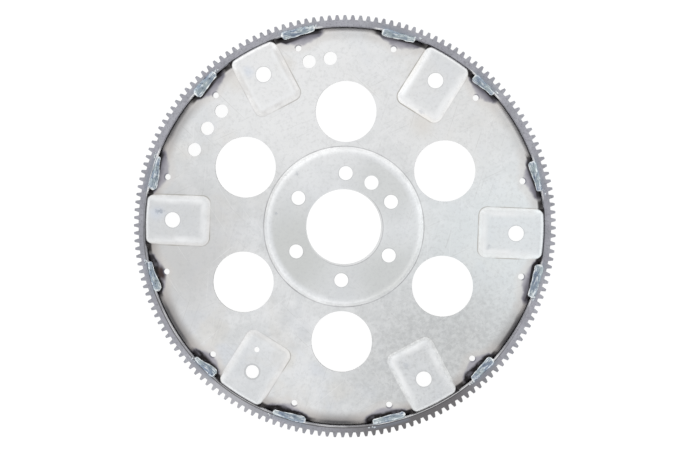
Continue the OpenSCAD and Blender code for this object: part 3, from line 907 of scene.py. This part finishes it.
def bore_marks(sh, place, colour):
    """Heat beside the welds, and at the bore's edge a shadow and a bevel that is paler beside the welds, with
    a painted highlight on the low side and at the lower right.
    """
    along, half = beside_weld(place)
    beyond = sh.minus(sh.size(along), half)
    heat = sh.product(sh.fade(beyond, 4.0, -1.0), sh.fade(place.radius, *HEATED_RING_R))
    colour = sh.mix(sh.product(heat, HEATED_RING_STRENGTH), colour, HEATED_RING)
    low_side = place.on_side(LOW_BORE_SIDE)
    shadow = sh.fine_line(place.radius, BORE_EDGE_R, half_w=0.9, core=0.2)
    colour = sh.mix(sh.product(shadow, low_side, BORE_SHADOW_STRENGTH), colour, BORE_SHADOW)
    patchy = sh.fade(sh.grain(place.at, scale=0.03, detail=2.0), 0.42, 0.58)
    by_weld = sh.product(sh.fade(beyond, 9.0, 3.0), patchy)
    low_part = sh.product(low_side, sh.scaled(patchy, gain=0.45, base=0.2))
    # The bevel is paler beside the welds, with a painted highlight on the low side and at the lower right
    pale_and_highlight = sh.most(by_weld, low_part, place.within(BEVEL_HIGHLIGHT_LOWER_RIGHT))
    bevel = sh.product(sh.fade(place.radius, *BORE_BEVEL_R), sh.fade(place.z, *BORE_BEVEL_Z))
    return sh.mix(sh.product(bevel, pale_and_highlight), colour, PALE_BEVEL_AND_HIGHLIGHT)


def ring_material():
    """The ring gear: matte machined steel, a little blue, brown and dark at the lower right, with a painted
    shadow and a painted highlight at the bore.
    """
    material, sh, surface = new_material("grey_ring_steel")
    place = Place(sh)
    speckle = sh.grain(place.at, scale=0.5, detail=4.0, roughness=0.68)
    sh.put(surface.inputs["Base Color"], bore_marks(sh, place, ring_tone(sh, place, speckle)))
    sh.put(surface.inputs["Metallic"], 0.7)
    sh.put(surface.inputs["Roughness"], sh.scaled(speckle, gain=0.2, base=0.42))
    sh.put(surface.inputs["Normal"], sh.bump(speckle, strength=0.25, distance=0.3 * MM))
    return material


# The welds' material: colours and function

PALE_OXIDE, BLUE_OXIDE = (0.36, 0.42, 0.44), (0.22, 0.27, 0.35)
# Painted highlights in streaks; dark streaks of the oxide skin
HIGHLIGHT_STREAK, DARK_STREAK = (0.78, 0.82, 0.84), (0.10, 0.12, 0.16)
# Dark pits, and the painted highlight on the bead's edges
WELD_PIT, WELD_EDGE_HIGHLIGHT = (0.07, 0.08, 0.10), (0.88, 0.90, 0.90)


def weld_material():
    """Weld metal: a blue-grey oxide skin with dark streaks along the run and dark pits, and painted
    highlights in bright streaks and on the edges.
    """
    material, sh, surface = new_material("blue_weld_metal")
    place = Place(sh)
    along, across, _ = sh.split(sh.node("ShaderNodeUVMap", uv_map="bead").outputs[0])
    tint = sh.grain(place.at, scale=0.12)
    run = sh.join(sh.product(along, 4.0), sh.product(across, 5.0), sh.product(tint, 3.0))
    streaks = sh.grain(run, scale=1.0, roughness=0.6)
    pits = sh.grain(place.at, scale=0.45, roughness=0.6)
    colour = sh.mix(sh.fade(tint, 0.35, 0.65), PALE_OXIDE, BLUE_OXIDE)
    # Painted highlights in bright streaks along the run
    colour = sh.mix(sh.fade(streaks, 0.50, 0.66, high=0.9), colour, HIGHLIGHT_STREAK)
    colour = sh.mix(sh.fade(streaks, 0.44, 0.30, high=0.8), colour, DARK_STREAK)
    colour = sh.mix(sh.fade(pits, 0.60, 0.70, high=0.8), colour, WELD_PIT)
    # Painted highlights on the inner edge and at both ends
    edge = sh.most(sh.fade(across, 0.20, 0.03), sh.fade(along, 0.09, 0.01), sh.fade(along, 0.93, 0.99))
    edge = sh.product(edge, sh.fade(streaks, 0.38, 0.52, low=0.25))
    sh.put(surface.inputs["Base Color"], sh.mix(edge, colour, WELD_EDGE_HIGHLIGHT))
    sh.put(surface.inputs["Metallic"], 1.0)
    sh.put(surface.inputs["Roughness"], sh.fade(pits, 0.50, 0.72, low=0.24, high=0.50))
    sh.put(surface.inputs["Normal"], sh.bump(streaks, strength=0.5, distance=0.5 * MM))
    return material


# The part


def dress(node, material):
    node.data.materials.clear()
    node.data.materials.append(material)


dress(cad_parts["plate"], plate_material())
dress(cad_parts["ring_gear"], ring_material())

weld_metal = weld_material()
for seed, name in enumerate(weld_names):
    bead = bpy.data.objects.new(name + "_drawn", Bead(weld_arcs[name], seed).mesh(name + "_drawn"))
    bpy.context.scene.collection.objects.link(bead)
    bead.data.materials.append(weld_metal)
    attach(bead, "root")
    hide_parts(name)


# The studio

FLOOR_HALF = 8.0
FLOOR_GLOW = 0.955
FLOOR_LIT, FLOOR_SHADE, FLOOR_WHITE = (0.85, 0.85, 0.85, 1.0), (0.12, 0.12, 0.12, 1.0), (1.0, 1.0, 1.0, 1.0)
UPPER_WALL, LOWER_WALL, FAR_WALL = (1.18, 1.18, 1.18), (1.50, 1.50, 1.50), (1.22, 1.22, 1.22)
CEILING = (0.93, 0.935, 0.94)


def floor_material():
    """A white floor that stays white to the camera and in reflections, and keeps a soft shadow."""
    material, sh, surface = new_material("white_floor")
    sh.nodes.remove(surface)
    path = sh.node("ShaderNodeLightPath").outputs
    seen = sh.most(path["Is Camera Ray"], path["Is Glossy Ray"], path["Is Transmission Ray"])
    lit = sh.node("ShaderNodeBsdfDiffuse", {"Color": FLOOR_LIT})
    shade = sh.node("ShaderNodeBsdfDiffuse", {"Color": FLOOR_SHADE})
    white = sh.node("ShaderNodeEmission", {"Color": FLOOR_WHITE, "Strength": FLOOR_GLOW})
    shown = sh.node("ShaderNodeAddShader", {0: shade.outputs[0], 1: white.outputs[0]})
    both = sh.node("ShaderNodeMixShader", {0: seen, 1: lit.outputs[0], 2: shown.outputs[0]})
    sh.put(sh.nodes["Material Output"].inputs["Surface"], both.outputs[0])
    return material


def make_floor():
    """A large square floor under the part."""
    corners = [(x * FLOOR_HALF, y * FLOOR_HALF, cad_low.z) for x, y in ((-1, -1), (1, -1), (1, 1), (-1, 1))]
    mesh = bpy.data.meshes.new("floor")
    mesh.from_pydata(corners, [], [(0, 1, 2, 3)])
    floor = bpy.data.objects.new("floor", mesh)
    bpy.context.scene.collection.objects.link(floor)
    mesh.materials.append(floor_material())


def make_world():
    """A white tent: bright walls, dimmer at the lower right, and a greyer ceiling above the part."""
    world = bpy.data.worlds.new("tent")
    bpy.context.scene.world = world
    world.use_nodes = True
    sh = Shader(world.node_tree)
    direction = sh.node("ShaderNodeTexCoord").outputs["Generated"]
    lower_right = (photo_right - photo_up).normalized()
    height = sh.split(direction)[2]
    walls = sh.mix(sh.fade(height, 0.40, 0.05), UPPER_WALL, LOWER_WALL)
    away = sh.fade(sh.vector("DOT_PRODUCT", direction, lower_right), 0.5, 1.0)
    walls = sh.mix(away, walls, FAR_WALL)
    colour = sh.mix(sh.fade(height, 0.45, 0.92), walls, CEILING)
    sh.put(sh.nodes["Background"].inputs["Color"], colour)


def make_softbox(name, right, up, height, size, power):
    """A square lamp at a place in the photograph's axes, turned to the part."""
    lamp = bpy.data.lights.new(name, "AREA")
    lamp.shape = "SQUARE"
    lamp.size = size
    lamp.energy = power
    holder = bpy.data.objects.new(name, lamp)
    holder.location = photo_right * right + photo_up * up + Vector((0, 0, height))
    holder.rotation_euler = (-holder.location).to_track_quat("-Z", "Y").to_euler()
    bpy.context.scene.collection.objects.link(holder)


def make_camera():
    """The photograph's camera: above the part, leaning a little to the right and up."""
    data = bpy.data.cameras.new("camera")
    data.sensor_width = SENSOR_W
    data.lens = SENSOR_W * CAMERA_DISTANCE / VIEW_W
    data.clip_start, data.clip_end = CLIP_NEAR, CLIP_FAR
    camera = bpy.data.objects.new("camera", data)
    bpy.context.scene.collection.objects.link(camera)
    lean = photo_right * math.tan(CAMERA_LEAN_RIGHT) + photo_up * math.tan(CAMERA_LEAN_UP)
    back = (Vector((0, 0, 1)) + lean).normalized()
    right = photo_up.cross(back).normalized()
    target = photo_right * VIEW_CENTRE_RIGHT + photo_up * VIEW_CENTRE_UP + Vector((0, 0, WEB_Z * MM))
    turned = Matrix((right, back.cross(right), back)).transposed().to_4x4()
    camera.matrix_world = Matrix.Translation(target + back * CAMERA_DISTANCE) @ turned
    bpy.context.scene.camera = camera


make_floor()
make_world()
make_softbox("key_softbox", right=-1.1, up=1.1, height=1.3, size=1.4, power=1.2)
make_camera()
bpy.context.scene.view_settings.view_transform = "Standard"
